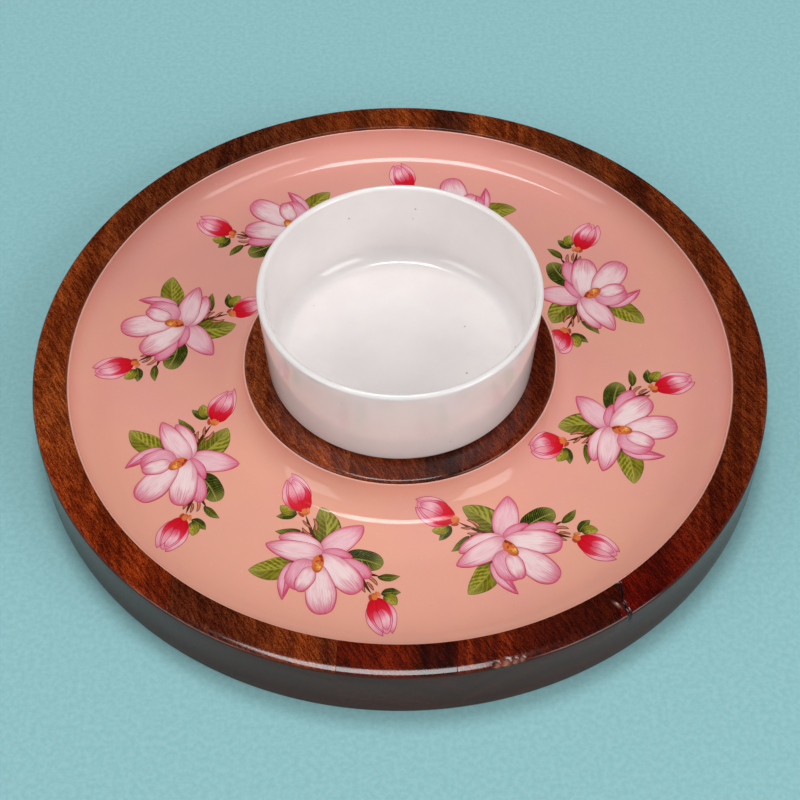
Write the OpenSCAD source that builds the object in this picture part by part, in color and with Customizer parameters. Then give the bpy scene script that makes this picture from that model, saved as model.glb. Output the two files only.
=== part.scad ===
// Chip and dip server: a turned wooden tray with an enamelled ring-shaped trough for chips, a flat hub
// left standing in the middle, and a loose glazed dip bowl that stands on the hub.
// Millimetres. +Z is up, and the origin is the centre of the tray's flat underside.

/* [Tray] */
// Diameter of the tray
tray_d = 306; // [290:1:330]
// Thickness of the tray, which is also the height of the rim and of the hub
tray_h = 26; // [24:0.5:32]
// Width of the bare wooden rim around the trough
rim_w = 14.1; // [12:0.2:18]
// Diameter of the bare wooden hub
hub_d = 130; // [124:1:138]
// Radius of the rounded outer edge at the top of the rim
top_edge_round = 2; // [1:0.5:5]
// Radius of the rounded outer edge at the underside
base_edge_round = 2; // [0.5:0.5:4]

/* [Boards] */
// Where the glue lines between the boards cross the X axis, from left to right
glue_lines = [-83, -18, 27, 88];
// Angle by which the boards lean clockwise from the Y axis
board_lean = 2.2; // [0:0.1:5]

/* [Enamel] */
// Depth from the rim to the enamelled floor of the trough
trough_depth = 13; // [10:0.5:14]
// Radius of the hollow curve between the trough's floor and its walls, on the enamel
trough_fillet = 12; // [8:0.5:12]
// Thickness of the enamel
enamel_t = 0.8; // [0.5:0.1:1.5]
// Height of bare wood left above the enamel's edge
enamel_drop = 1; // [1:0.1:2]

/* [Magnolia sprays] */
// Distance from the ring's centre to the stamens of each flower
spray_ring_r = 101; // [99:0.5:103]
// Direction of the first flower, counter-clockwise from the X axis
spray_first = 28.6; // [0:0.1:44]
// Turn of each spray's long axis from the radius through its flower
spray_turn = 47; // [44:0.5:50]
// How far the whole ring of sprays lies off the tray's centre, along X
spray_shift_x = -3; // [-4:0.5:0]
// Thickness of the printed film
film_t = 0.1; // [0.1:0.05:0.2]

/* [Dip bowl] */
// Outer diameter at the lip
bowl_d = 115.5; // [112:0.5:118]
// Outer diameter at the foot, before the foot's edge is rounded
bowl_foot_d = 110; // [100:1:111]
// Height of the bowl
bowl_h = 44; // [36:0.5:55]
// Thickness of the wall, which ends in a full round lip
bowl_wall = 3; // [2.5:0.5:6]
// Thickness of the floor above the table that the bowl stands on
bowl_floor = 5.5; // [4.5:0.5:8]
// Radius of the rounded outer edge of the foot
bowl_foot_round = 3.5; // [2:0.5:6]
// Radius of the hollow curve inside, between floor and wall
bowl_inner_fillet = 7; // [4:0.5:10]
// Diameter of the shallow hollow inside the foot ring
foot_hollow_d = 86; // [70:1:88]
// Depth of the hollow inside the foot ring
foot_hollow_depth = 1.5; // [1:0.5:2]

/* [Hidden] */

$fn = 128;
overcut = 1;
// How far a rounding runs past a sloping wall that it blends into, so that the two cross and don't only touch
blend_overlap = 0.003;

tray_r = tray_d / 2;
hub_r = hub_d / 2;
rim_inner_r = tray_r - rim_w;
wood_floor_z = tray_h - trough_depth - enamel_t;
wood_fillet = trough_fillet + enamel_t;
enamel_top_z = tray_h - enamel_drop;

// Glue lines with the tray's own left and right sides added, so that a board lies between two neighbours
board_sides = concat([-tray_r - 20], glue_lines, [tray_r + 20]);

spray_count = 8;
spray_step = 360 / spray_count;

// Slope of the bowl's wall from the vertical, and the same slope as a unit vector across the wall
bowl_slope = atan((bowl_d - bowl_foot_d) / 2 / bowl_h);
across_wall = [cos(bowl_slope), -sin(bowl_slope)];

// X of the line that lies a distance inside the bowl's outer wall, at height z
function bowl_wall_x(z, inside) = bowl_foot_d / 2 + z * tan(bowl_slope) - inside / cos(bowl_slope);

// ---- Tray ----

// What a rounding of radius r removes from an outside corner that points to +X +Y, at the origin
module corner_waste(r) {
    translate([-r, -r]) difference() {
        square(r + overcut);
        rotate(180) circle(r);
    }
}

// Half section of the trough as cut in the wood, or of the same trough after a coating of thickness inset
module trough_section(inset) {
    inner = hub_r + inset;
    outer = rim_inner_r - inset;
    floor_z = wood_floor_z + inset;
    fillet = wood_fillet - inset;
    translate([inner + fillet, floor_z]) square([outer - inner - 2 * fillet, tray_h]);
    translate([inner, floor_z + fillet]) square([outer - inner, tray_h]);
    translate([inner + fillet, floor_z + fillet]) rotate(90) circle(fillet);
    translate([outer - fillet, floor_z + fillet]) rotate(90) circle(fillet);
}

// Half section of the glued blank after turning
module tray_section() {
    difference() {
        square([tray_r, tray_h]);
        trough_section(0);
        translate([tray_r, tray_h]) corner_waste(top_edge_round);
        translate([tray_r, 0]) mirror([0, 1]) corner_waste(base_edge_round);
    }
}

// One of the edge-glued boards, numbered from the left
module board(index) {
    left = board_sides[index];
    right = board_sides[index + 1];
    intersection() {
        rotate_extrude() tray_section();
        rotate([0, 0, -board_lean])
            translate([left, -tray_d, -overcut])
                cube([right - left, 2 * tray_d, tray_h + 2 * overcut]);
    }
}

module left_edge_board() { color([0.45, 0.20, 0.07]) board(0); }
module left_board() { color([0.33, 0.15, 0.07]) board(1); }
module middle_board() { color([0.42, 0.18, 0.07]) board(2); }
module right_board() { color([0.36, 0.14, 0.07]) board(3); }
module right_edge_board() { color([0.38, 0.18, 0.08]) board(4); }

module enamel_lining() {
    color([0.87, 0.60, 0.52])
        rotate_extrude()
            difference() {
                trough_section(0);
                trough_section(enamel_t);
                translate([0, enamel_top_z]) square([tray_r, tray_h]);
            }
}

// ---- Magnolia sprays ----

// Pointed leaf or petal outline from one point to another, made of two equal arcs
module blade(from, to, width) {
    run = to - from;
    half = norm(run) / 2;
    bulge = width / 2;
    arc_r = (half * half + bulge * bulge) / (2 * bulge);
    translate((from + to) / 2) rotate(atan2(run.y, run.x)) intersection() {
        translate([0, arc_r - bulge]) circle(arc_r);
        translate([0, bulge - arc_r]) circle(arc_r);
    }
}

// Straight piece of twig from one point to another
module twig(from, to, width) {
    run = to - from;
    translate(from) rotate(atan2(run.y, run.x)) translate([0, -width / 2]) square([norm(run), width]);
}

// Bud from its base to its tip, with the small leaf that grows beside it
module bud(base, tip, leaf_tip) {
    blade(base, tip, 11);
    blade(base, leaf_tip, 4.5);
}

// Outline of one printed spray around the flower's stamens, long axis along X
module spray_outline() {
    // Petals
    blade([-4, 2], [-5.5, 24], 11);
    blade([-1, 1], [-18, -12], 14);
    blade([-2, 2], [19, 8], 13);
    blade([1, 0], [21, -11], 13);
    blade([-3, -3], [7, -19], 9);
    blade([-1, 3], [15, 14.5], 8);
    circle(4);
    translate([0.5, -8.5]) circle(6);
    // Leaves
    blade([-4, 3], [-22, 14], 9);
    blade([3, 8], [13.5, 21], 7.5);
    blade([-3, -5], [-11.5, -24.5], 9);
    // Twigs and buds
    twig([-14, 6], [-26, 7], 1);
    twig([8, 10], [26, 11.5], 1);
    blade([-15, 6], [-22, -7], 2.5);
    blade([14, 11], [21, 24], 2.5);
    bud([-23.5, 6.5], [-38, 9.5], [-28, -2.5]);
    bud([22.5, 11.5], [40.5, 9], [28, 21]);
}

// Printed film in the shape of one spray, lying on the enamel's floor and curved sides
module magnolia_spray(number) {
    direction = spray_first + (number - 1) * spray_step;
    color([0.90, 0.50, 0.62])
        intersection() {
            rotate_extrude()
                difference() {
                    trough_section(enamel_t);
                    trough_section(enamel_t + film_t);
                }
            translate([spray_shift_x, 0, 0])
                rotate([0, 0, direction])
                    translate([spray_ring_r, 0, 0])
                        rotate([0, 0, spray_turn])
                            linear_extrude(tray_h) spray_outline();
        }
}

// ---- Dip bowl ----

// Half section of the bowl's outside, with the foot at Y = 0
module bowl_outer_section() {
    foot_centre = [bowl_wall_x(bowl_foot_round, bowl_foot_round - blend_overlap), bowl_foot_round];
    lip_r = bowl_wall / 2 + blend_overlap;
    lip_z = bowl_h - lip_r;
    lip_centre = [bowl_wall_x(lip_z, bowl_wall / 2), lip_z];
    lip_inside = lip_centre - across_wall * bowl_wall / 2;
    polygon([
        [0, 0], [foot_centre.x, 0],
        foot_centre + across_wall * (bowl_foot_round - blend_overlap),
        lip_centre + across_wall * bowl_wall / 2,
        lip_inside, [0, lip_inside.y]
    ]);
    translate(foot_centre) rotate(90) circle(bowl_foot_round);
    translate(lip_centre) rotate(-90) circle(lip_r);
}

// Half section of the space inside the bowl, run on above the lip
module bowl_inner_section() {
    fillet_z = bowl_floor + bowl_inner_fillet;
    fillet_centre = [bowl_wall_x(fillet_z, bowl_wall + bowl_inner_fillet - blend_overlap), fillet_z];
    top_z = bowl_h + overcut;
    polygon([
        [0, bowl_floor], [fillet_centre.x, bowl_floor],
        fillet_centre + across_wall * (bowl_inner_fillet - blend_overlap),
        [bowl_wall_x(top_z, bowl_wall), top_z], [0, top_z]
    ]);
    translate(fillet_centre) rotate(90) circle(bowl_inner_fillet);
}

module dip_bowl() {
    color([0.93, 0.91, 0.88])
        translate([0, 0, tray_h])
            rotate_extrude()
                difference() {
                    bowl_outer_section();
                    bowl_inner_section();
                    square([foot_hollow_d / 2, foot_hollow_depth]);
                }
}

left_edge_board();
left_board();
middle_board();
right_board();
right_edge_board();
enamel_lining();
magnolia_spray(1);  // magnolia_spray_1
magnolia_spray(2);  // magnolia_spray_2
magnolia_spray(3);  // magnolia_spray_3
magnolia_spray(4);  // magnolia_spray_4
magnolia_spray(5);  // magnolia_spray_5
magnolia_spray(6);  // magnolia_spray_6
magnolia_spray(7);  // magnolia_spray_7
magnolia_spray(8);  // magnolia_spray_8
dip_bowl();
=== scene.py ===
"""Looks of the chip and dip server: turned boards, enamelled trough, magnolia sprays and a glazed bowl."""
import math
import random

import bmesh
import bpy
import numpy as np
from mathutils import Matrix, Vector


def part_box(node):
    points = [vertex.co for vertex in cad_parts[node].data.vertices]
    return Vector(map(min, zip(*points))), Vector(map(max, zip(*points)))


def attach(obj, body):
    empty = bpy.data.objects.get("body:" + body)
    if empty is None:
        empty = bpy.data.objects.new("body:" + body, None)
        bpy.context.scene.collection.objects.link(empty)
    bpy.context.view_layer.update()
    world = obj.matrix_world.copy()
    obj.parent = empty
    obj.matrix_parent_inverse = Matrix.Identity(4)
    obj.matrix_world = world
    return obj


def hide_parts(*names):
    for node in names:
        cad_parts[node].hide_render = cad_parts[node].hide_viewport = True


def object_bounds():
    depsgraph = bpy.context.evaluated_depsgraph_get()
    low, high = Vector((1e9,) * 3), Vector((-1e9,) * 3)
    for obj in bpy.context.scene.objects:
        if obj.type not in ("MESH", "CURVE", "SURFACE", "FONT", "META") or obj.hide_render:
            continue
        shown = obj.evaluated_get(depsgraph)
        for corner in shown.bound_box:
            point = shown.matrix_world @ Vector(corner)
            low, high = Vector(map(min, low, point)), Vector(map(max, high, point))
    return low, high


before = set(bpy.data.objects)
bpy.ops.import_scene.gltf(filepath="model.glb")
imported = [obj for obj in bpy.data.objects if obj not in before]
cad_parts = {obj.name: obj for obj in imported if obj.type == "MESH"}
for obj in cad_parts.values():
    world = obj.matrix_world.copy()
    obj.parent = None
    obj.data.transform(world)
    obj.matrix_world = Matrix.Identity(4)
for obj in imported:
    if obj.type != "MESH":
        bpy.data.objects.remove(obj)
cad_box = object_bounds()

MM = 0.001

# ---- Sizes in millimetres, from the frame's boxes and the tray's own turned shape ----

BOARDS = ["left_edge_board", "left_board", "middle_board", "right_board", "right_edge_board"]
SPRAYS = [f"magnolia_spray_{number}" for number in range(1, 9)]


def box_mm(node):
    low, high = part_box(node)
    return low / MM, high / MM


lining_low, lining_high = box_mm("enamel_lining")
bowl_low, bowl_high = box_mm("dip_bowl")
TRAY_R = round((cad_box[1].x - cad_box[0].x) / MM / 2, 1)
TRAY_H = box_mm("middle_board")[1].z
RIM_INNER_R = lining_high.x
HUB_R = 65
WOOD_FLOOR_Z = lining_low.z
ENAMEL_TOP_Z = lining_high.z
ENAMEL_T = 0.8
TROUGH_FILLET = ENAMEL_TOP_Z - WOOD_FLOOR_Z - ENAMEL_T
FLOOR_Z = WOOD_FLOOR_Z + ENAMEL_T
FLOOR_INNER_R = HUB_R + ENAMEL_T + TROUGH_FILLET
FLOOR_OUTER_R = RIM_INNER_R - ENAMEL_T - TROUGH_FILLET
TOP_EDGE_ROUND = 1.3
BASE_EDGE_ROUND = 1
RIM_EDGE_ROUND = 0.35
HUB_EDGE_ROUND = 1
# Crowns inside the rim's and the hub's outer edges: radius, and tilt in degrees where the rounding starts
RIM_CROWN = (16, 10)
HUB_CROWN = (9, 17)
TRAY_SEGMENTS = 720

# Glue lines lean clockwise from +Y, and the numbers say where they cross the X axis
BOARD_LEAN = math.radians(2.2)
GLUE_LINES = [-83, -18, 27, 88]

# Ring of sprays: radius to the stamens, directions in degrees, and the ring's own shift off the tray's centre
SPRAY_RING_R = 101
SPRAY_FIRST = 28.6
SPRAY_STEP = 45
SPRAY_TURN = 47
SPRAY_SHIFT_X = -3

BOWL_LIP_R = bowl_high.x
BOWL_FOOT_R = 55
BOWL_WALL = 3
BOWL_FLOOR = 5.5
BOWL_FOOT_ROUND = 3.5
BOWL_INNER_FILLET = 7
FOOT_HOLLOW_R = 43
FOOT_HOLLOW_DEPTH = 1.5
BOWL_SEGMENTS = 512

# Edges bent by more than this stay sharp in the shading
SHARP_ANGLE = math.radians(38)


# ---- Mesh helpers ----

def arc(centre, radius, start, end, steps):
    """Points on an arc in the half section, from start to end in degrees, both ends included."""
    angles = np.radians(np.linspace(start, end, steps + 1))
    return [(centre[0] + radius * math.cos(a), centre[1] + radius * math.sin(a)) for a in angles]


def line(start, end, steps):
    """Points from start towards end, with neither end included."""
    shares = np.linspace(0, 1, steps + 1)[1:-1]
    return [(start[0] + (end[0] - start[0]) * k, start[1] + (end[1] - start[1]) * k) for k in shares]


def lathe(name, section, segments, closed=False):
    """Turns a half section in millimetres about Z. It runs anticlockwise. An open one ends on the axis."""
    angles = np.linspace(0, 2 * math.pi, segments, endpoint=False)
    ring = np.stack([np.cos(angles), np.sin(angles)], 1)
    rows = []
    verts = []
    for r, z in section:
        if r < 1e-6:
            rows.append([len(verts)])
            verts.append((0, 0, z * MM))
        else:
            rows.append(list(range(len(verts), len(verts) + segments)))
            verts.extend((x * r * MM, y * r * MM, z * MM) for x, y in ring)
    faces = []
    pairs = list(zip(rows, rows[1:] + rows[:1]))
    for low, high in pairs if closed else pairs[:-1]:
        for k in range(segments):
            m = (k + 1) % segments
            if len(low) == 1:
                faces.append((low[0], high[m], high[k]))
            elif len(high) == 1:
                faces.append((low[k], low[m], high[0]))
            else:
                faces.append((low[k], low[m], high[m], high[k]))
    mesh = bpy.data.meshes.new(name)
    mesh.from_pydata(verts, [], faces)
    return mesh


def piece(name, mesh, body, slot, materials, *nodes):
    """One visible piece that stands for CAD nodes and moves with their body."""
    obj = bpy.data.objects.new(name, mesh)
    bpy.context.scene.collection.objects.link(obj)
    for material in materials:
        mesh.materials.append(material)
    mesh.shade_smooth()
    mesh.set_sharp_from_angle(angle=SHARP_ANGLE)
    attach(obj, body)
    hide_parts(*nodes)
    return obj


def point_attribute(mesh, name, values):
    mesh.attributes.new(name, "FLOAT", "POINT").data.foreach_set("value", np.asarray(values, np.float32))


# ---- Material helpers ----

def srgb(red, green, blue):
    """Linear colour from 8-bit sRGB numbers."""
    def linear(c):
        c /= 255
        return c / 12.92 if c <= 0.04045 else ((c + 0.055) / 1.055) ** 2.4
    return (linear(red), linear(green), linear(blue), 1)


class Graph:
    """One material's node tree, with short calls for its nodes. A value may be a number or a socket."""

    def __init__(self, name, **shader_values):
        self.material = bpy.data.materials.new(name)
        self.material.use_nodes = True
        self.tree = self.material.node_tree
        self.shader = self.tree.nodes["Principled BSDF"]
        for socket, value in shader_values.items():
            self.shader.inputs[socket.replace("_", " ")].default_value = value

    def add(self, kind, inputs, **settings):
        node = self.tree.nodes.new("ShaderNode" + kind)
        for key, value in settings.items():
            setattr(node, key, value)
        for key, value in inputs.items():
            if isinstance(value, bpy.types.NodeSocket):
                self.tree.links.new(value, node.inputs[key])
            else:
                node.inputs[key].default_value = value
        return node

    def set(self, socket, value):
        self.tree.links.new(value, self.shader.inputs[socket])

    def place(self):
        """Object coordinates in millimetres."""
        coords = self.add("TexCoord", {}).outputs["Object"]
        return self.scaled(coords, (1 / MM, 1 / MM, 1 / MM))

    def scaled(self, vector, scale, turn=0.0, shift=(0, 0, 0)):
        return self.add("Mapping", {"Vector": vector, "Scale": scale, "Rotation": (0, 0, turn),
                                    "Location": shift}).outputs[0]

    def noise(self, vector, detail=2.0, roughness=0.5):
        return self.add("TexNoise", {"Vector": vector, "Scale": 1.0, "Detail": detail,
                                     "Roughness": roughness}).outputs[0]

    def math(self, operation, a, b=0.0, c=0.0):
        return self.add("Math", {0: a, 1: b, 2: c}, operation=operation).outputs[0]

    def span(self, value, low, high, to_low=0.0, to_high=1.0):
        """Smooth step of value from low to high."""
        return self.add("MapRange", {"Value": value, "From Min": low, "From Max": high, "To Min": to_low,
                                     "To Max": to_high}, interpolation_type="SMOOTHSTEP").outputs[0]

    def span_linear(self, value, low, high):
        """Share of the way from low to high, clamped."""
        return self.add("MapRange", {"Value": value, "From Min": low, "From Max": high}).outputs[0]

    def split(self, vector):
        return self.add("SeparateXYZ", {"Vector": vector}).outputs

    def join(self, x, y, z=0.0):
        return self.add("CombineXYZ", {"X": x, "Y": y, "Z": z}).outputs[0]

    def attribute(self, name):
        return self.add("Attribute", {}, attribute_name=name)

    def ramp(self, value, stops):
        node = self.add("ValToRGB", {"Fac": value})
        elements = node.color_ramp.elements
        while len(elements) < len(stops):
            elements.new(0.5)
        for element, (position, colour) in zip(elements, stops):
            element.position = position
            element.color = colour
        return node.outputs[0]

    def mix(self, share, a, b, blend="MIX"):
        return self.add("Mix", {0: share, 6: a, 7: b}, data_type="RGBA", blend_type=blend).outputs[2]

    def bump(self, height, distance, strength=1.0):
        return self.add("Bump", {"Height": height, "Distance": distance * MM,
                                 "Strength": strength}).outputs[0]


# ---- Wood ----

# Tones of each board across the grain, as x in millimetres and sRGB, and linear tints of each board's front
# end and of its middle
EBONY = (64, 24, 11)
DARK = (78, 31, 12)
UMBER = (90, 37, 13)
BROWN = (104, 43, 15)
ORANGE = (120, 50, 17)
BOARD_TONES = {
    "left_edge_board": [(-152, ORANGE), (-142, ORANGE), (-130, BROWN), (-114, UMBER), (-96, UMBER),
                        (-86, DARK)],
    "left_board": [(-82, DARK), (-66, DARK), (-54, UMBER), (-38, BROWN), (-30, ORANGE), (-22, UMBER),
                   (-18, BROWN)],
    "middle_board": [(-18, BROWN), (-4, ORANGE), (6, ORANGE), (11, UMBER), (14, EBONY), (23, EBONY),
                     (27, UMBER)],
    "right_board": [(27, ORANGE), (45, ORANGE), (56, BROWN), (66, UMBER), (78, DARK), (88, UMBER)],
    "right_edge_board": [(88, BROWN), (101, UMBER), (105, DARK), (110, BROWN), (120, BROWN), (126, UMBER),
                         (136, BROWN), (152, BROWN)],
}
FRONT_TINTS = [(2.1, 1.25, 0.7, 1), (1.1, 0.95, 0.8, 1), (0.58, 0.2, 0.1, 1), (0.7, 0.36, 0.3, 1),
               (0.85, 0.14, 0.15, 1)]
MIDDLE_TINTS = [(1, 1, 1, 1), (1.8, 1.9, 2.1, 1), (1.15, 1.1, 0.8, 1), (0.75, 0.55, 0.7, 1),
                (0.9, 0.8, 0.8, 1)]
# Short fibres lie across the boards' length at this angle
HATCH_LEAN = math.radians(-33)
# Stained end grain on the turned edge
EDGE_STAIN = (70, 30, 18)
# Pith that the growth rings run round: its depth below the tray, and its place from the middle of even and
# odd boards
PITH_DEPTH = 45.0
PITH_ASIDE = (-18, 14)


def wood_material(name, tones, number):
    """Lacquered rosewood: tones across the board, fine specks, slanting fibres, pores and a clear coat."""
    g = Graph(name, Roughness=0.6, Coat_Weight=0.8, Coat_Roughness=0.11, Coat_IOR=1.5, Specular_IOR_Level=0.0)
    place = g.scaled(g.place(), (1, 1, 1), BOARD_LEAN)
    x, y, z = g.split(place)
    seed = 37.0 * number
    wander = g.noise(g.scaled(place, (1 / 45, 1 / 170, 1 / 45), shift=(0, seed, 0)), 1)
    ripple = g.noise(g.scaled(place, (1 / 8, 1 / 38, 1 / 8), shift=(seed, 0, 0)), 2)
    drift = g.math("ADD", g.math("MULTIPLY_ADD", wander, 16, -8), g.math("MULTIPLY_ADD", ripple, 3.0, -1.5))

    # Growth rings show as arcs on end grain and as streaks along the board
    pith = (tones[0][0] + tones[-1][0]) / 2 + PITH_ASIDE[number % 2]
    across = g.math("SUBTRACT", g.math("ADD", x, drift), pith)
    up = g.math("ADD", z, PITH_DEPTH)
    ring = g.math("SQRT", g.math("ADD", g.math("MULTIPLY", across, across), g.math("MULTIPLY", up, up)))
    streaks = g.noise(g.join(g.math("MULTIPLY", ring, 1 / 4.5), g.math("MULTIPLY", y, 1 / 240), seed), 3, 0.6)
    lines = g.noise(g.join(g.math("MULTIPLY", ring, 1 / 0.9), g.math("MULTIPLY", y, 1 / 60), seed), 2, 0.6)
    specks = g.noise(g.scaled(place, (1 / 0.42, 1 / 0.7, 1 / 0.42), shift=(seed, 0, 0)), 2, 0.6)
    slanted = g.scaled(place, (1, 1, 1), HATCH_LEAN)
    hatch = g.noise(g.scaled(slanted, (1 / 0.85, 1 / 6.5, 1 / 0.85), shift=(0, 0, seed)), 2, 0.6)
    pores = g.noise(g.scaled(slanted, (1 / 0.35, 1 / 2.2, 1 / 0.35), shift=(0, seed, 0)), 1, 0.5)

    # Board's own tones across the grain, redder towards the front of the tray but not underneath
    low, high = tones[0][0], tones[-1][0]
    tone = g.ramp(g.span_linear(g.math("ADD", x, g.math("MULTIPLY", drift, 0.5)), low, high),
                  [((at - low) / (high - low), srgb(*colour)) for at, colour in tones])
    front = g.math("MULTIPLY", g.span(y, -30, -120), g.span(z, 4, 16))
    tone = g.mix(front, tone, g.mix(1.0, tone, FRONT_TINTS[number], "MULTIPLY"))
    middle = g.span(g.math("ABSOLUTE", y), 100, 60)
    tone = g.mix(middle, tone, g.mix(1.0, tone, MIDDLE_TINTS[number], "MULTIPLY"))
    shade = g.span(streaks, 0.36, 0.64, 0.7, 1.25)
    shade = g.math("MULTIPLY", shade, g.span(lines, 0.34, 0.66, 0.76, 1.22))
    shade = g.math("MULTIPLY", shade, g.span(specks, 0.36, 0.64, 0.58, 1.42))
    shade = g.math("MULTIPLY", shade, g.span(hatch, 0.38, 0.62, 0.66, 1.36))
    shade = g.math("MULTIPLY", shade, g.span(pores, 0.58, 0.68, 1.0, 0.35))
    warm = g.math("POWER", shade, 1.35)
    wood = g.mix(1.0, tone, g.join(shade, warm, warm), "MULTIPLY")

    # Stained end grain round the edge; pale knocks and a pale mark beside the crack, partly wear and partly
    # painted glint; and dirt in the crack
    radius = g.math("SQRT", g.math("ADD", g.math("MULTIPLY", x, x), g.math("MULTIPLY", y, y)))
    stain = g.mix(1.0, srgb(*EDGE_STAIN), g.span(streaks, 0.3, 0.7, 0.8, 1.12), "MULTIPLY")
    wood = g.mix(g.span(radius, TRAY_R - 0.7, TRAY_R - 0.1), wood, stain)
    wood = g.mix(g.attribute("wear_and_glint").outputs["Fac"], wood, srgb(206, 158, 134))
    wood = g.mix(g.attribute("dirt").outputs["Fac"], wood, srgb(18, 8, 6))
    g.set("Base Color", wood)

    grain = g.math("SUBTRACT", g.math("MULTIPLY", hatch, 0.5), g.span(pores, 0.58, 0.68))
    g.set("Normal", g.bump(grain, 0.05, 0.5))
    lacquer = g.noise(g.scaled(place, (1 / 6, 1 / 9, 1 / 6)), 3, 0.6)
    g.set("Coat Normal", g.bump(lacquer, 0.06, 0.4))
    return g.material


def crowned_edge(r, edge_round, crown_round, crown_tilt):
    """Outside edge under a flat top: tightly rounded at radius r, then crowned until it is level."""
    tilt = math.radians(crown_tilt)
    low_z = TRAY_H - crown_round + (crown_round - edge_round) * math.cos(tilt)
    crown_r = r - edge_round - (crown_round - edge_round) * math.sin(tilt)
    edge = arc((r - edge_round, low_z), edge_round, 0, 90 - crown_tilt, 8)
    return edge + arc((crown_r, TRAY_H - crown_round), crown_round, 90 - crown_tilt, 90, 8)[1:]


def tray_section():
    """Half section of the turned blank, with its edges eased as a turner leaves them."""
    r, h = TRAY_R, TRAY_H
    fillet = TROUGH_FILLET + ENAMEL_T
    wall_z = WOOD_FLOOR_Z + fillet
    section = [(0, 0)] + line((0, 0), (r - BASE_EDGE_ROUND, 0), 6)
    section += arc((r - BASE_EDGE_ROUND, BASE_EDGE_ROUND), BASE_EDGE_ROUND, -90, 0, 6)
    rim_edge = crowned_edge(r, TOP_EDGE_ROUND, *RIM_CROWN)
    section += line((r, BASE_EDGE_ROUND), rim_edge[0], 5) + rim_edge
    section += line(rim_edge[-1], (RIM_INNER_R + RIM_EDGE_ROUND, h), 5)
    section += arc((RIM_INNER_R + RIM_EDGE_ROUND, h - RIM_EDGE_ROUND), RIM_EDGE_ROUND, 90, 180, 6)
    section += arc((RIM_INNER_R - fillet, wall_z), fillet, 0, -90, 12)
    section += line((RIM_INNER_R - fillet, WOOD_FLOOR_Z), (HUB_R + fillet, WOOD_FLOOR_Z), 4)
    section += arc((HUB_R + fillet, wall_z), fillet, -90, -180, 12)
    hub_edge = crowned_edge(HUB_R, HUB_EDGE_ROUND, *HUB_CROWN)
    section += hub_edge + line(hub_edge[-1], (0, h), 6)
    return section + [(0, h)]


# Groove along each glue line, on each board
GROOVE_HALF = 0.4
GROOVE_DEPTH = 0.015
# Opened glue line across the front of the rim: directions where it meets the trough and the edge
CRACK_INNER, CRACK_OUTER = 306.6, 304.0
CRACK_HALF = 0.8
CRACK_DEPTH = 0.45
# Height where the crack starts, and the rise over which it reaches its full depth
CRACK_LOW_Z = 20
CRACK_RISE = 4
# Pale mark beside it, a painted glint on the lacquer over a shallow dent: direction, radius, half length and
# half width
CHIP_GLINT = (303.9, 146.8, 1.7, 0.55)
CHIP_GLINT_LEAN = 14
CHIP_GLINT_DEPTH = 0.12
# Knocks on the rounded edge: direction in degrees, height, radius and depth
KNOCKS = [(283.7, 25.4, 0.9, 0.3), (285.0, 25.7, 1.3, 0.4), (286.3, 25.3, 0.9, 0.3), (287.3, 25.7, 0.8, 0.2)]
# Stretches of the rim that are knocked or cracked, in degrees, and the longest edge that faces keep there
DAMAGED = [(281, 288.5), (302.5, 309)]
DAMAGED_LOW_Z = 21
FINE_EDGE = 0.5


def from_polar(direction, radius):
    a = math.radians(direction)
    return Vector((math.cos(a) * radius, math.sin(a) * radius))


def crack_amount(at, height):
    """From 1 along the middle of the opened joint down to 0 beside it and below the rim's top."""
    start, end = from_polar(CRACK_INNER, RIM_INNER_R), from_polar(CRACK_OUTER, TRAY_R + 1)
    run = end - start
    along = (at - start).dot(run) / run.length_squared
    if not -0.1 < along < 1.1 or height < CRACK_LOW_Z:
        return 0
    # It wanders from side to side, and its width varies
    jog = 0.5 * math.sin(9 * along) + 0.25 * math.sin(23 * along)
    aside = abs((at - start).cross(run) / run.length + jog)
    width = CRACK_HALF * (0.7 + 0.5 * abs(math.sin(5.3 * along + 0.4)))
    return max(0, 1 - (aside / width) ** 2) * min(1, (height - CRACK_LOW_Z) / CRACK_RISE)


# Share of the painted glint beside the crack, which also sets its shallow dent
def chip_glint_amount(at, height):
    if height <= CRACK_LOW_Z:
        return 0
    direction, radius, half_length, half_width = CHIP_GLINT
    offset = at - from_polar(direction, radius)
    turn = math.radians(direction + CHIP_GLINT_LEAN)
    along = offset.x * math.cos(turn) + offset.y * math.sin(turn)
    aside = offset.y * math.cos(turn) - offset.x * math.sin(turn)
    return math.exp(-(along / half_length) ** 2 - (aside / half_width) ** 2)


def cut_side(bm, at_x, side):
    """Cuts the blank along a glue line, keeps what is on one side (-1 left, 1 right), and closes it."""
    normal = Vector((math.cos(BOARD_LEAN), -math.sin(BOARD_LEAN), 0))
    on_line = Vector((at_x * MM, 0, 0))
    for offset, clear in ((side * GROOVE_HALF, False), (0, True)):
        everything = bm.verts[:] + bm.edges[:] + bm.faces[:]
        bmesh.ops.bisect_plane(bm, geom=everything, plane_co=on_line + normal * offset * MM, plane_no=normal,
                               dist=1e-8, clear_inner=clear and side > 0, clear_outer=clear and side < 0)
    bm.normal_update()
    open_edges = [edge for edge in bm.edges if edge.is_boundary]
    for vert in {v for edge in open_edges for v in edge.verts}:
        along = vert.normal - normal * vert.normal.dot(normal)
        vert.co -= along.normalized() * GROOVE_DEPTH * MM
    bmesh.ops.triangle_fill(bm, edges=open_edges, use_beauty=False, normal=normal * -side)


def refine_damage(bm):
    """Finer faces on the rim where it is cracked and knocked."""
    for _ in range(3):
        near = []
        for edge in bm.edges:
            middle = (edge.verts[0].co + edge.verts[1].co) / 2 / MM
            direction = math.degrees(math.atan2(middle.y, middle.x)) % 360
            damaged = any(start < direction < end for start, end in DAMAGED)
            on_rim = middle.z > DAMAGED_LOW_Z and middle.xy.length > RIM_INNER_R - 1
            if damaged and on_rim and edge.calc_length() > FINE_EDGE * MM:
                near.append(edge)
        bmesh.ops.subdivide_edges(bm, edges=near, cuts=1, use_grid_fill=True)


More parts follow.
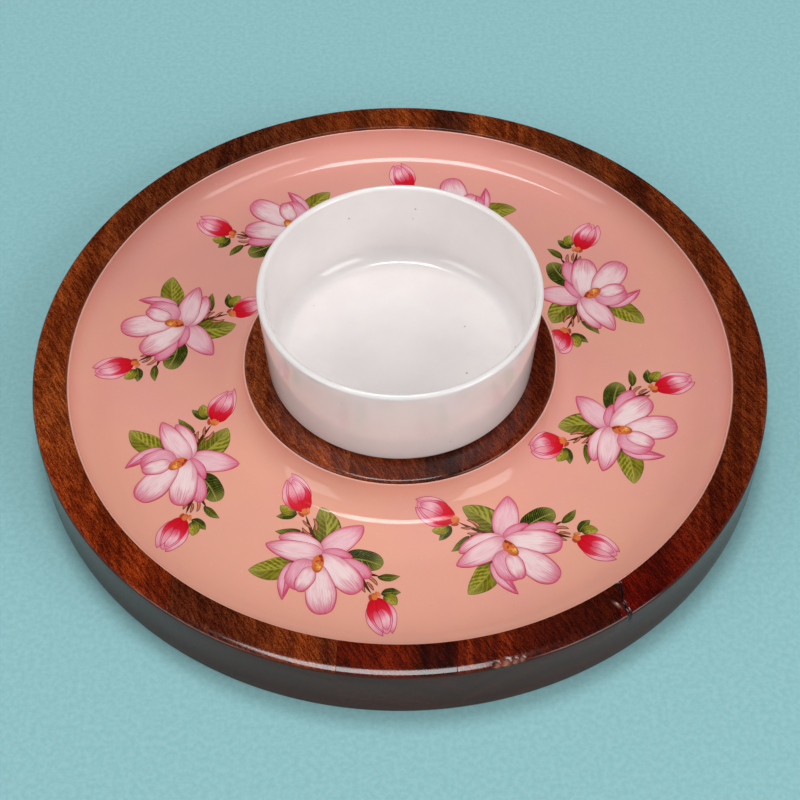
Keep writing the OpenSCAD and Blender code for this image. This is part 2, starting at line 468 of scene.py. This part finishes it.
def turned_board(index, blank):
    name = BOARDS[index]
    bm = bmesh.new()
    bm.from_mesh(blank)
    if index > 0:
        cut_side(bm, GLUE_LINES[index - 1], 1)
    if index < len(GLUE_LINES):
        cut_side(bm, GLUE_LINES[index], -1)
    bm.normal_update()
    wear_and_glint, dirt = [], []
    for vert in bm.verts:
        at, height = vert.co.xy / MM, vert.co.z / MM
        crack, chip_glint = crack_amount(at, height), chip_glint_amount(at, height)
        knock = 0.0
        sunk = CRACK_DEPTH * crack + CHIP_GLINT_DEPTH * chip_glint
        for direction, knock_z, radius, depth in KNOCKS:
            centre = from_polar(direction, TRAY_R - 1).to_3d() + Vector((0, 0, knock_z))
            near = math.exp(-((vert.co / MM - centre).length / radius) ** 2)
            sunk += near * depth
            knock += near
        vert.co -= vert.normal * sunk * MM
        # Pale colour on the knocks and beside the crack: partly wear, partly a painted glint
        wear_and_glint.append(min(1.0, 0.4 * knock + 0.4 * chip_glint * (1 - crack)))
        dirt.append(min(1.0, 1.3 * crack))
    mesh = bpy.data.meshes.new("turned_" + name)
    bm.to_mesh(mesh)
    bm.free()
    point_attribute(mesh, "wear_and_glint", wear_and_glint)
    point_attribute(mesh, "dirt", dirt)
    material = wood_material("rosewood_" + name, BOARD_TONES[name], index)
    piece("turned_" + name, mesh, "tray", "wood", [material], name)


def make_boards():
    blank = lathe("blank", tray_section(), TRAY_SEGMENTS)
    bm = bmesh.new()
    bm.from_mesh(blank)
    refine_damage(bm)
    bm.to_mesh(blank)
    bm.free()
    for index in range(len(BOARDS)):
        turned_board(index, blank)
    bpy.data.meshes.remove(blank)


# ---- Enamel ----

ENAMEL_LIGHT = (233, 169, 147)
ENAMEL_ROSE = (230, 163, 150)
# Gloss of the enamel and of the prints on it
GLOSS = {"Roughness": 0.6, "Specular_IOR_Level": 0.0, "Coat_Weight": 0.85, "Coat_Roughness": 0.1,
         "Coat_IOR": 1.5}
FILLET_STEPS = 14


def enamel_colour(g, place):
    """Peach enamel, rosier towards the back, with faint clouds."""
    clouds = g.noise(g.scaled(place, (1 / 42, 1 / 42, 1 / 42)), 3, 0.55)
    back = g.math("MULTIPLY", g.split(place)[1], 0.0016)
    colour = g.mix(g.span(g.math("ADD", clouds, back), 0.3, 0.7), srgb(*ENAMEL_LIGHT), srgb(*ENAMEL_ROSE))
    height = g.split(place)[2]
    return g.mix(g.span(height, ENAMEL_TOP_Z - 0.2, ENAMEL_TOP_Z, 0.0, 0.3), colour, srgb(246, 204, 186))


def enamel_material():
    g = Graph("peach_enamel", **GLOSS)
    place = g.place()
    colour = enamel_colour(g, place)
    flecks = g.noise(g.scaled(place, (1 / 1.6, 1 / 1.6, 1 / 1.6)), 2, 0.7)
    colour = g.mix(g.span(flecks, 0.68, 0.78, 0.0, 0.35), colour, srgb(250, 205, 190))
    colour = g.mix(g.span(flecks, 0.3, 0.22, 0.0, 0.25), colour, srgb(190, 112, 100))
    g.set("Base Color", colour)
    wave = g.noise(g.scaled(place, (1 / 16, 1 / 16, 1 / 16)), 2)
    g.set("Coat Normal", g.bump(wave, 0.18, 0.5))
    return g.material


def lining_section():
    """Closed half section of the enamel, with a rounded bead along both edges."""
    wood_fillet = TROUGH_FILLET + ENAMEL_T
    lip = ENAMEL_T / 2
    top = ENAMEL_TOP_Z - lip
    inner, outer = HUB_R, RIM_INNER_R
    squash = (top - WOOD_FLOOR_Z) / wood_fillet
    section = arc((inner + wood_fillet, top), wood_fillet, 180, 270, FILLET_STEPS)
    section = [(r, WOOD_FLOOR_Z + (z - top + wood_fillet) * squash) for r, z in section]
    section += line((inner + wood_fillet, WOOD_FLOOR_Z), (outer - wood_fillet, WOOD_FLOOR_Z), 4)
    right = [(inner + outer - r, z) for r, z in reversed(section[:FILLET_STEPS + 1])]
    section += right
    section += arc((outer - lip, top), lip, 0, 180, 8)[1:]
    section += arc((FLOOR_OUTER_R, ENAMEL_TOP_Z), TROUGH_FILLET, 0, -90, 20)[1:]
    section += line((FLOOR_OUTER_R, FLOOR_Z), (FLOOR_INNER_R, FLOOR_Z), 8)
    section += arc((FLOOR_INNER_R, ENAMEL_TOP_Z), TROUGH_FILLET, 270, 180, 20)[:-1]
    section += arc((inner + lip, top), lip, 0, 180, 8)[:-1]
    return section


def make_lining():
    mesh = lathe("fired_enamel_lining", lining_section(), TRAY_SEGMENTS, closed=True)
    piece("fired_enamel_lining", mesh, "tray", "enamel", [enamel_material()], "enamel_lining")


# ---- Printed sprays ----

# Thickness of one printed layer, and how far the sides of a shape reach below the enamel's face
LAYER = 0.01
SIDE_DEPTH = 0.01
STAMEN_COUNT = 24
PETAL, BUD, LEAF, TWIG, STAMEN = range(5)


def print_graph(name):
    """Graph of a printed colour with s along the shape, t across it, its edge's distance and its tone."""
    g = Graph(name, **GLOSS)
    s, t, rim = g.split(g.attribute("along_across_rim").outputs["Vector"])
    tone = g.attribute("tone").outputs["Fac"]
    return g, s, t, rim, tone


def petal_material():
    """Petals from near white to rose, pinker along one side and at the tip, veined and outlined."""
    g, s, t, rim, tone = print_graph("print_petal")
    seed = g.math("MULTIPLY", tone, 60)
    wash = g.noise(g.join(g.math("MULTIPLY", s, 2.6), g.math("MULTIPLY", t, 2.0), seed), 3, 0.6)
    veins = g.noise(g.join(g.math("MULTIPLY", s, 2.4), g.math("MULTIPLY", t, 17), seed), 3, 0.65)
    colour = g.mix(tone, srgb(245, 221, 221), srgb(226, 146, 170))
    colour = g.mix(g.span(wash, 0.45, 0.75, 0.0, 0.35), colour, srgb(222, 144, 160))
    side = g.math("ADD", t, g.math("MULTIPLY_ADD", wash, 1.4, -0.7))
    colour = g.mix(g.span(side, 0.3, 1.1, 0.0, 0.65), colour, srgb(216, 116, 140))
    colour = g.mix(g.span(side, -0.6, -1.1, 0.0, 0.3), colour, srgb(222, 142, 160))
    tip = g.math("ADD", s, g.math("MULTIPLY_ADD", veins, 0.7, -0.35))
    colour = g.mix(g.span(tip, 0.6, 1.0, 0.0, 0.85), colour, srgb(208, 82, 118))
    colour = g.mix(g.span(s, 0.28, 0.02, 0.0, 0.65), colour, srgb(206, 106, 132))
    colour = g.mix(g.span(veins, 0.52, 0.70, 0.0, 0.45), colour, srgb(214, 112, 140))
    colour = g.mix(g.span(veins, 0.47, 0.33, 0.0, 0.5), colour, srgb(247, 226, 226))
    soft = g.math("MULTIPLY_ADD", wash, 2.2, -1.1)
    near_edge = g.span(g.math("ADD", rim, soft), 1.6, 0.0, 0.0, 0.9)
    near_tip = g.span(s, 0.2, 0.8, 0.35, 1.0)
    colour = g.mix(g.math("MULTIPLY", near_edge, near_tip), colour, srgb(212, 84, 120))
    drawn = g.span(wash, 0.34, 0.6, 0.2, 1.0)
    colour = g.mix(g.math("MULTIPLY", g.span(rim, 0.36, 0.12), drawn), colour, srgb(184, 44, 84))
    g.set("Base Color", colour)
    return g.material


def bud_material():
    """Buds in brushed streaks from crimson at the base to pale rose at the tip, in pale outer petals."""
    g, s, t, rim, tone = print_graph("print_bud")
    seed = g.math("MULTIPLY", tone, 50)
    flow = g.noise(g.join(g.math("MULTIPLY", s, 2.2), g.math("MULTIPLY", t, 9), seed), 3, 0.65)
    reach = g.math("ADD", s, g.math("MULTIPLY_ADD", flow, 0.7, -0.35))
    deep = g.ramp(reach, [(0.0, srgb(196, 4, 16)), (0.36, srgb(216, 8, 34)), (0.52, srgb(224, 52, 82)),
                          (0.66, srgb(236, 132, 154)), (0.8, srgb(240, 168, 184)),
                          (1.0, srgb(224, 122, 150))])
    pale = g.ramp(reach, [(0.0, srgb(214, 40, 72)), (0.25, srgb(232, 120, 146)), (0.5, srgb(246, 200, 208)),
                          (0.75, srgb(240, 176, 190)), (1.0, srgb(222, 112, 146))])
    colour = g.mix(tone, deep, pale)
    brush = g.noise(g.join(g.math("MULTIPLY", s, 2.6), g.math("MULTIPLY", t, 20), seed), 3, 0.65)
    colour = g.mix(g.span(brush, 0.52, 0.68, 0.0, 0.5), colour, srgb(206, 38, 72))
    lit = g.math("MULTIPLY", g.span(brush, 0.44, 0.32, 0.0, 0.3), g.span(s, 0.3, 0.6))
    colour = g.mix(lit, colour, srgb(250, 206, 214))
    colour = g.mix(g.span(rim, 0.34, 0.12, 0.0, 0.85), colour, srgb(178, 28, 62))
    g.set("Base Color", colour)
    return g.material


def leaf_material():
    """Leaves with a pale midrib and side veins, one half in shade, darkest towards the flower."""
    g, s, t, rim, tone = print_graph("print_leaf")
    wide = g.math("ABSOLUTE", t)
    light = g.mix(tone, srgb(122, 136, 48), srgb(176, 168, 58))
    dark = g.mix(tone, srgb(18, 34, 6), srgb(98, 90, 8))
    slanted = g.math("SUBTRACT", g.math("MULTIPLY", s, 8), g.math("MULTIPLY", wide, 2.2))
    rib = g.math("FRACT", slanted)
    between = g.math("PINGPONG", rib, 0.5)
    seed = g.math("MULTIPLY", tone, 30)
    flow = g.noise(g.join(g.math("MULTIPLY", s, 4), g.math("MULTIPLY", t, 4), seed), 4, 0.65)
    ribbed = g.math("MULTIPLY", g.math("SUBTRACT", between, 0.25), g.math("MULTIPLY_ADD", tone, -0.7, 1.2))
    lit = g.math("ADD", g.math("ADD", flow, ribbed), g.math("MULTIPLY_ADD", tone, 0.24, -0.17))
    colour = g.mix(g.span(lit, 0.36, 0.64), dark, light)
    colour = g.mix(g.span(t, -0.1, 0.1, 0.0, 0.5), colour, dark)
    colour = g.mix(g.span(s, 0.42, 0.0, 0.0, 0.9), colour, srgb(22, 24, 6))
    colour = g.mix(g.span(s, 0.6, 1.0, 0.0, 0.45), colour, srgb(170, 162, 84))
    colour = g.mix(g.span(between, 0.1, 0.02, 0.0, 0.25), colour, srgb(196, 190, 84))
    colour = g.mix(g.span(wide, 0.09, 0.03, 0.0, 0.5), colour, srgb(178, 170, 84))
    colour = g.mix(g.span(rim, 0.4, 0.08, 0.0, 0.5), colour, srgb(58, 60, 14))
    g.set("Base Color", colour)
    return g.material


def twig_material():
    g, s, t, rim, tone = print_graph("print_twig")
    colour = g.mix(tone, srgb(88, 40, 20), srgb(206, 128, 100))
    seed = g.math("MULTIPLY", tone, 9)
    streak = g.noise(g.join(g.math("MULTIPLY", s, 5), g.math("MULTIPLY", t, 3), seed), 2)
    colour = g.mix(g.span(streak, 0.45, 0.7, 0.0, 0.6), colour, srgb(96, 48, 28))
    colour = g.mix(g.span(rim, 0.4, 0.16, 0.0, 0.9), colour, srgb(78, 28, 16))
    g.set("Base Color", colour)
    return g.material


def stamen_material():
    g, s, _, rim, tone = print_graph("print_stamen")
    colour = g.ramp(tone, [(0.0, srgb(150, 46, 24)), (0.35, srgb(196, 84, 50)), (0.7, srgb(226, 132, 66)),
                           (1.0, srgb(246, 190, 92))])
    colour = g.mix(g.span(s, 0.5, 0.0, 0.0, 0.5), colour, srgb(162, 56, 26))
    colour = g.mix(g.span(rim, 0.2, 0.05, 0.0, 0.4), colour, srgb(160, 56, 28))
    g.set("Base Color", colour)
    return g.material


# Powers that shape a printed outline towards its base and towards its tip
ROUND_TIP = (0.66, 0.42)
ROUND = (0.44, 0.42)
OVAL = (0.52, 0.58)
EGG = (0.5, 0.7)
LEAFY = (0.5, 0.74)
POINTED = (0.62, 0.86)
SLENDER = (0.8, 1.0)

# One printed shape: kind, base, tip, width, sideways bow of its middle line, outline and tone. The spray's
# stamens are at (0, 0) and its long axis lies along +X.
LEAVES = [
    (LEAF, (-5.6, 4.4), (-24.8, 14.4), 11.8, -2.2, LEAFY, 0.62),
    (LEAF, (1.0, 10.0), (11.8, 21.6), 9.8, 1.2, ROUND, 0.05),
    (LEAF, (-6.2, -6.4), (-13.4, -24.4), 10.4, 1.2, LEAFY, 0.85),
]
LEFT_BUD = [
    (TWIG, (-8.0, 4.4), (-25.2, 7.6), 1.4, 0.4, SLENDER, 0.0),
    (TWIG, (-13.6, 5.4), (-19.0, 1.4), 1.2, -0.5, SLENDER, 0.0),
    (TWIG, (-14.2, 5.2), (-20.2, 3.4), 1.5, 0.8, OVAL, 0.95),
    (TWIG, (-15.6, 7.0), (-21.8, 9.4), 1.5, -0.7, OVAL, 1.0),
    (TWIG, (-18.0, 6.6), (-23.2, 5.2), 1.3, 0.3, OVAL, 0.85),
    (LEAF, (-19.2, 2.2), (-24.2, -6.8), 3.6, 0.7, SLENDER, 0.25),
    (LEAF, (-27.2, 5.0), (-30.2, -3.0), 3.8, 0.4, SLENDER, 0.0),
    (LEAF, (-28.4, 5.2), (-34.0, 1.0), 5.2, 1.0, LEAFY, 1.0),
    (BUD, (-28.6, 10.2), (-43.8, 12.2), 6.0, -1.0, POINTED, 0.92),
    (BUD, (-28.6, 5.8), (-43.0, 9.2), 5.8, 1.4, POINTED, 0.78),
    (BUD, (-26.4, 8.0), (-42.8, 10.8), 9.8, 0.0, EGG, 0.03),
    (BUD, (-31.6, 9.4), (-41.6, 11.0), 5.0, -0.4, EGG, 0.97),
    (BUD, (-31.0, 7.0), (-41.6, 9.4), 3.2, 0.4, POINTED, 0.60),
    (STAMEN, (-24.6, 7.5), (-27.8, 8.3), 2.6, 0.0, ROUND, 0.60),
    (STAMEN, (-24.4, 6.6), (-27.4, 5.6), 1.3, 0.2, OVAL, 0.20),
    (STAMEN, (-24.6, 8.4), (-27.4, 9.8), 1.3, -0.2, OVAL, 0.70),
]
RIGHT_BUD = [
    (TWIG, (9.0, 12.4), (20.8, 11.6), 1.4, -0.4, SLENDER, 0.0),
    (TWIG, (11.0, 12.8), (15.6, 18.4), 1.2, 0.4, SLENDER, 0.0),
    (TWIG, (12.8, 13.8), (18.6, 15.4), 1.5, 0.7, OVAL, 1.0),
    (TWIG, (13.6, 11.8), (19.0, 9.8), 1.5, -0.6, OVAL, 0.85),
    (TWIG, (15.0, 12.6), (19.8, 13.0), 1.3, 0.3, OVAL, 0.95),
    (LEAF, (15.2, 17.4), (19.4, 25.2), 3.4, -0.5, SLENDER, 0.25),
    (LEAF, (22.8, 14.6), (26.0, 21.6), 4.2, 0.5, SLENDER, 0.0),
    (LEAF, (24.4, 14.6), (30.0, 17.2), 5.2, 0.9, LEAFY, 1.0),
    (BUD, (25.4, 13.4), (40.2, 9.4), 5.6, 1.2, POINTED, 0.92),
    (BUD, (24.8, 8.8), (39.6, 5.8), 5.4, -1.2, POINTED, 0.78),
    (BUD, (22.8, 11.4), (39.4, 7.8), 9.2, 0.0, EGG, 0.03),
    (BUD, (28.4, 10.9), (38.0, 8.4), 4.6, 0.5, EGG, 0.97),
    (BUD, (27.6, 8.8), (38.0, 6.8), 2.8, -0.3, POINTED, 0.60),
    (STAMEN, (20.8, 12.2), (24.0, 11.4), 2.5, 0.0, ROUND, 0.60),
    (STAMEN, (20.8, 13.2), (23.4, 13.9), 1.3, 0.2, OVAL, 0.70),
    (STAMEN, (20.8, 11.0), (23.2, 9.8), 1.3, -0.2, OVAL, 0.20),
]
FLOWER = [
    (PETAL, (0.6, 9.0), (14.2, 14.6), 6.0, 1.0, ROUND_TIP, 0.92),
    (PETAL, (-6.8, 4.4), (-8.4, 24.8), 10.8, -0.8, EGG, 0.45),
    (PETAL, (-5.8, 4.8), (2.6, 13.4), 4.2, 0.9, OVAL, 1.0),
    (PETAL, (-5.8, 4.6), (-21.0, -6.8), 7.4, -1.6, OVAL, 0.22),
    (PETAL, (-5.6, 3.8), (17.6, 7.6), 11.6, 0.3, ROUND_TIP, 0.03),
    (PETAL, (-1.6, 0.8), (19.4, -8.8), 12.4, -0.6, ROUND_TIP, 0.10),
    (PETAL, (-5.2, 4.4), (-20.8, -12.8), 9.8, 1.0, EGG, 0.26),
    (PETAL, (-7.6, -8.0), (5.6, -19.6), 5.6, -1.0, POINTED, 0.72),
    (PETAL, (-6.4, -9.4), (4.6, -18.8), 2.0, 0.2, POINTED, 1.0),
    (PETAL, (-6.0, -2.0), (2.4, -14.2), 11.2, 0.6, ROUND, 0.80),
    (PETAL, (-2.2, -2.6), (4.6, -12.8), 7.2, 0.8, ROUND, 0.14),
]
# First layers of the flower, above leaves and buds, and of the stamens
FLOWER_LAYER = 16
STAMEN_LAYER = FLOWER_LAYER + len(FLOWER)


def spray_shapes():
    """Every shape of a spray with the layer that it is printed in, from the leaves up to the stamens."""
    groups = [(0, LEAVES), (2, LEFT_BUD), (3, RIGHT_BUD), (FLOWER_LAYER, FLOWER)]
    layered = [(layer, shape) for first, group in groups for layer, shape in enumerate(group, first)]
    layered.append((STAMEN_LAYER, (STAMEN, (1.6, -2.0), (-5.0, 3.3), 4.6, 0.4, ROUND, 0.55)))
    rng = random.Random(5)
    for k in range(STAMEN_COUNT):
        along = rng.uniform(-1, 1)
        aside = rng.uniform(-1, 1) * math.sqrt(1 - along * along)
        base = (-1.6 - 2.4 * along + 1.2 * aside, 0.6 + 1.9 * along + 1.5 * aside)
        lean = math.radians(140 + 60 * aside + rng.uniform(-20, 20))
        reach = rng.uniform(0.9, 1.6)
        tip = (base[0] + reach * math.cos(lean), base[1] + reach * math.sin(lean))
        tone = min(1, max(0, 0.5 - 0.5 * along + rng.uniform(-0.25, 0.25)))
        stamen = (STAMEN, base, tip, rng.uniform(0.8, 1.15), 0.1, ROUND, tone)
        layered.append((STAMEN_LAYER + 1 + 0.15 * k, stamen))
    return layered


def outline_grid(base, tip, width, bend, powers, wave, rows, columns):
    """Points of one printed shape on a grid, with s along it, t across it and distances from its edge."""
    base, tip = np.array(base), np.array(tip)
    run = tip - base
    length = float(np.hypot(*run))
    side = np.array((-run[1], run[0])) / length
    elbow = (base + tip) / 2 + side * bend * 2
    s = (1 - np.cos(np.linspace(0, math.pi, rows + 1))) / 2
    a, b = powers
    peak = (a / (a + b)) ** a * (b / (a + b)) ** b
    profile = s ** a * (1 - s) ** b / peak
    t = np.linspace(-1, 1, columns + 1)
    k = s[:, None]
    middle = (1 - k) ** 2 * base + 2 * k * (1 - k) * elbow + k ** 2 * tip
    tangent = 2 * (1 - k) * (elbow - base) + 2 * k * (tip - elbow)
    normal = np.stack([-tangent[:, 1], tangent[:, 0]], 1) / np.linalg.norm(tangent, axis=1)[:, None]
    half = profile * width / 2
    wobble = np.sin(3.5 * s[:, None] * math.pi + wave) * np.sign(t)[None, :]
    edge = 1 + 0.03 * wobble * (np.abs(t) ** 3)[None, :]
    points = middle[:, None, :] + normal[:, None, :] * (half[:, None] * t[None, :] * edge)[:, :, None]
    ends = np.minimum(s, 1 - s) * length
    rim = np.minimum((1 - np.abs(t))[None, :] * half[:, None], ends[:, None] + 0.1)
    return points, s, t, rim


def onto_trough(points, direction, height):
    """Lays flat spray points on the enamel: flat on the floor, and by arc length up the hollow sides."""
    turn = math.radians(direction + SPRAY_TURN)
    centre = np.array((SPRAY_SHIFT_X + SPRAY_RING_R * math.cos(math.radians(direction)),
                       SPRAY_RING_R * math.sin(math.radians(direction))))
    x = centre[0] + points[..., 0] * math.cos(turn) - points[..., 1] * math.sin(turn)
    y = centre[1] + points[..., 0] * math.sin(turn) + points[..., 1] * math.cos(turn)
    r = np.hypot(x, y)
    inward = np.clip(FLOOR_INNER_R - r, 0, None)
    outward = np.clip(r - FLOOR_OUTER_R, 0, None)
    climb = (inward + outward) / TROUGH_FILLET
    tilt = np.sign(inward - outward)
    rise = TROUGH_FILLET - height
    lifted_r = np.clip(r, FLOOR_INNER_R, FLOOR_OUTER_R) - tilt * rise * np.sin(climb)
    lifted_z = ENAMEL_TOP_Z - rise * np.cos(climb)
    return np.stack([x / r * lifted_r, y / r * lifted_r, lifted_z], -1) * MM


def spray_mesh(number, direction):
    verts, faces, kinds, coords, tones = [], [], [], [], []
    count = 0
    for layer, (kind, base, tip, width, bend, powers, tone) in spray_shapes():
        small = kind in (TWIG, STAMEN)
        rows, columns = (10, 4) if small else (30, 10)
        wave = 1.7 * layer + 0.6 * number
        points, s, t, rim = outline_grid(base, tip, width, bend, powers, wave, rows, columns)
        lift = LAYER * (layer + 1)
        grid = onto_trough(points, direction, lift).reshape(-1, 3)
        stride = columns + 1
        border = list(range(stride))
        border += [row * stride + columns for row in range(1, rows + 1)]
        border += [rows * stride + k for k in range(columns - 1, -1, -1)]
        border += [row * stride for row in range(rows - 1, 0, -1)]
        skirt = onto_trough(points.reshape(-1, 2)[border], direction, -SIDE_DEPTH)
        along = np.stack(np.broadcast_arrays(s[:, None], t[None, :], rim), -1).reshape(-1, 3)
        verts.extend(map(tuple, grid))
        verts.extend(map(tuple, skirt))
        coords.extend(map(tuple, along))
        coords.extend(map(tuple, along[border]))
        tones.extend([tone] * (len(grid) + len(border)))
        quads = []
        for row in range(rows):
            for k in range(columns):
                low = count + row * stride + k
                quads.append((low, low + 1, low + 1 + stride, low + stride))
        ring = count + len(grid)
        for k, at in enumerate(border):
            m = (k + 1) % len(border)
            quads.append((count + at, ring + k, ring + m, count + border[m]))
        faces.extend(quads)
        kinds.extend([kind] * len(quads))
        count = len(verts)
    mesh = bpy.data.meshes.new(f"printed_spray_{number}")
    mesh.from_pydata(verts, [], faces)
    mesh.polygons.foreach_set("material_index", kinds)
    data = mesh.attributes.new("along_across_rim", "FLOAT_VECTOR", "POINT").data
    data.foreach_set("vector", np.asarray(coords, np.float32).ravel())
    point_attribute(mesh, "tone", tones)
    return mesh


def make_sprays():
    materials = [petal_material(), bud_material(), leaf_material(), twig_material(), stamen_material()]
    for number, node in enumerate(SPRAYS, 1):
        mesh = spray_mesh(number, SPRAY_FIRST + SPRAY_STEP * (number - 1))
        piece(f"printed_spray_{number}", mesh, "tray", "print", materials, node)


# ---- Dip bowl ----

def bowl_section():
    """Half section of the bowl, from the middle of its underside round the wall to its floor's middle."""
    foot = bowl_low.z
    height = bowl_high.z - foot
    slope = math.atan((BOWL_LIP_R - BOWL_FOOT_R) / height)
    degrees = math.degrees(slope)

    def wall_x(z, inside):
        return BOWL_FOOT_R + z * math.tan(slope) - inside / math.cos(slope)

    foot_x = wall_x(BOWL_FOOT_ROUND, BOWL_FOOT_ROUND)
    lip_r = BOWL_WALL / 2
    lip_x = wall_x(height - lip_r, lip_r)
    fillet_z = BOWL_FLOOR + BOWL_INNER_FILLET
    fillet_x = wall_x(fillet_z, BOWL_WALL + BOWL_INNER_FILLET)
    hollow = FOOT_HOLLOW_R - 1
    section = [(0, FOOT_HOLLOW_DEPTH)] + line((0, FOOT_HOLLOW_DEPTH), (hollow, FOOT_HOLLOW_DEPTH), 5)
    section += arc((hollow, FOOT_HOLLOW_DEPTH - 0.5), 0.5, 90, 0, 4)
    section += arc((FOOT_HOLLOW_R, 0.5), 0.5, 180, 270, 4)
    section += line((FOOT_HOLLOW_R, 0), (foot_x, 0), 4)
    outside = arc((foot_x, BOWL_FOOT_ROUND), BOWL_FOOT_ROUND, -90, -degrees, 10)
    lip = arc((lip_x, height - lip_r), lip_r, -degrees, 180 - degrees, 14)
    section += outside + line(outside[-1], lip[0], 8)
    inside = arc((fillet_x, fillet_z), BOWL_INNER_FILLET, -degrees, -90, 12)
    section += lip + line(lip[-1], inside[0], 8) + inside
    section += line((fillet_x, BOWL_FLOOR), (0, BOWL_FLOOR), 8) + [(0, BOWL_FLOOR)]
    return [(r, z + foot) for r, z in section]


def glaze_material():
    """White glaze with slight clouds, a few pinholes and iron specks, and a bare foot ring."""
    g = Graph("white_glaze", Roughness=0.35, Coat_Weight=1.0, Coat_Roughness=0.08, Coat_IOR=1.5)
    place = g.place()
    clouds = g.noise(g.scaled(place, (1 / 24, 1 / 24, 1 / 24)), 3, 0.6)
    colour = g.mix(g.span(clouds, 0.3, 0.7), srgb(247, 242, 240), srgb(242, 236, 235))
    cells = g.add("TexVoronoi", {"Vector": place, "Scale": 1 / 7})
    picked = g.span(g.split(cells.outputs["Color"])[0], 0.72, 0.73)
    speck = g.math("MULTIPLY", g.span(cells.outputs["Distance"], 0.075, 0.045), picked)
    colour = g.mix(g.math("MULTIPLY", speck, 0.6), colour, srgb(120, 112, 100))
    height = g.split(place)[2]
    foot = g.span(height, bowl_low.z + 0.35, bowl_low.z + 0.15)
    grit = g.noise(g.scaled(place, (1 / 0.5, 1 / 0.5, 1 / 0.5)), 3, 0.7)
    bare = g.mix(g.span(grit, 0.3, 0.7), srgb(214, 200, 182), srgb(188, 170, 148))
    g.set("Base Color", g.mix(foot, colour, bare))
    wave = g.noise(g.scaled(place, (1 / 11, 1 / 11, 1 / 15)), 2)
    g.set("Coat Normal", g.bump(g.math("SUBTRACT", g.math("MULTIPLY", wave, 0.8), speck), 0.15, 0.6))
    return g.material


def make_bowl():
    mesh = lathe("glazed_dip_bowl", bowl_section(), BOWL_SEGMENTS)
    piece("glazed_dip_bowl", mesh, "bowl", "ceramic", [glaze_material()], "dip_bowl")


# ---- Floor, lights and camera ----

# Radius in metres
FLOOR_R = 6


def make_floor():
    g = Graph("pale_floor", Roughness=0.75, Specular_IOR_Level=0.2)
    weave = g.noise(g.scaled(g.place(), (1 / 2.2, 1 / 2.2, 1 / 2.2)), 3, 0.6)
    g.set("Base Color", g.mix(g.span(weave, 0.3, 0.7), srgb(144, 197, 202), srgb(156, 207, 211)))
    mesh = bpy.data.meshes.new("floor")
    bm = bmesh.new()
    bmesh.ops.create_circle(bm, cap_ends=True, radius=FLOOR_R, segments=96)
    bm.to_mesh(mesh)
    bm.free()
    mesh.materials.append(g.material)
    floor = bpy.data.objects.new("floor", mesh)
    bpy.context.scene.collection.objects.link(floor)


def softbox(name, direction, distance, size, power, mirrored=True):
    """Area light that faces the tray from a direction. One that isn't mirrored shows in no reflection."""
    light = bpy.data.lights.new(name, "AREA")
    light.shape = "RECTANGLE"
    light.size, light.size_y = size
    light.energy = power
    obj = bpy.data.objects.new(name, light)
    obj.location = Vector(direction).normalized() * distance
    obj.rotation_euler = (-Vector(direction)).to_track_quat("-Z", "Y").to_euler()
    obj.visible_glossy = mirrored
    bpy.context.scene.collection.objects.link(obj)


def make_lights():
    """Studio light: an overhead softbox, a window on either side, and two fills that nothing mirrors."""
    # Direction, distance and size in metres, and power in watts
    softbox("key", (-0.03, 0.178, 0.97), 2.4, (0.72, 0.72), 19.5)
    softbox("left_window", (-0.72, -0.5, 0.48), 2.6, (1.3, 1.6), 15)
    softbox("right_window", (0.69, -0.53, 0.48), 2.6, (1.3, 1.6), 24)
    softbox("top_fill", (0.0, 0.1, 1.0), 2.6, (2.0, 2.0), 4.5, mirrored=False)
    softbox("front_fill", (0.0, -0.62, 0.78), 2.8, (2.6, 2.0), 6, mirrored=False)


def make_world():
    """Pale room, dark behind the tray so that the wood shows its own colour and not glare."""
    world = bpy.data.worlds.new("studio")
    world.use_nodes = True
    tree = world.node_tree
    background = tree.nodes["Background"]
    background.inputs["Color"].default_value = srgb(212, 208, 208)
    look = tree.nodes.new("ShaderNodeTexCoord")
    towards = tree.nodes.new("ShaderNodeVectorMath")
    towards.operation = "DOT_PRODUCT"
    towards.inputs[1].default_value = (0, 0.66, 0.75)
    strength = tree.nodes.new("ShaderNodeMapRange")
    strength.interpolation_type = "SMOOTHSTEP"
    for socket, value in {"From Min": 0.62, "From Max": 0.9, "To Min": 0.48, "To Max": 0.05}.items():
        strength.inputs[socket].default_value = value
    tree.links.new(look.outputs["Generated"], towards.inputs[0])
    tree.links.new(towards.outputs["Value"], strength.inputs["Value"])
    tree.links.new(strength.outputs[0], background.inputs["Strength"])
    bpy.context.scene.world = world


def make_camera():
    """Camera at the photograph's viewing angle."""
    data = bpy.data.cameras.new("camera")
    data.lens = 81.32
    data.sensor_width = 36
    data.clip_start = 0.01
    camera = bpy.data.objects.new("camera", data)
    camera.location = (0, -483.7 * MM, 608.4 * MM)
    camera.rotation_euler = (math.radians(38.32), 0, 0)
    bpy.context.scene.collection.objects.link(camera)
    bpy.context.scene.camera = camera


bpy.context.scene.view_settings.view_transform = "Standard"
make_camera()
make_boards()
make_lining()
make_sprays()
make_bowl()
make_floor()
make_lights()
make_world()
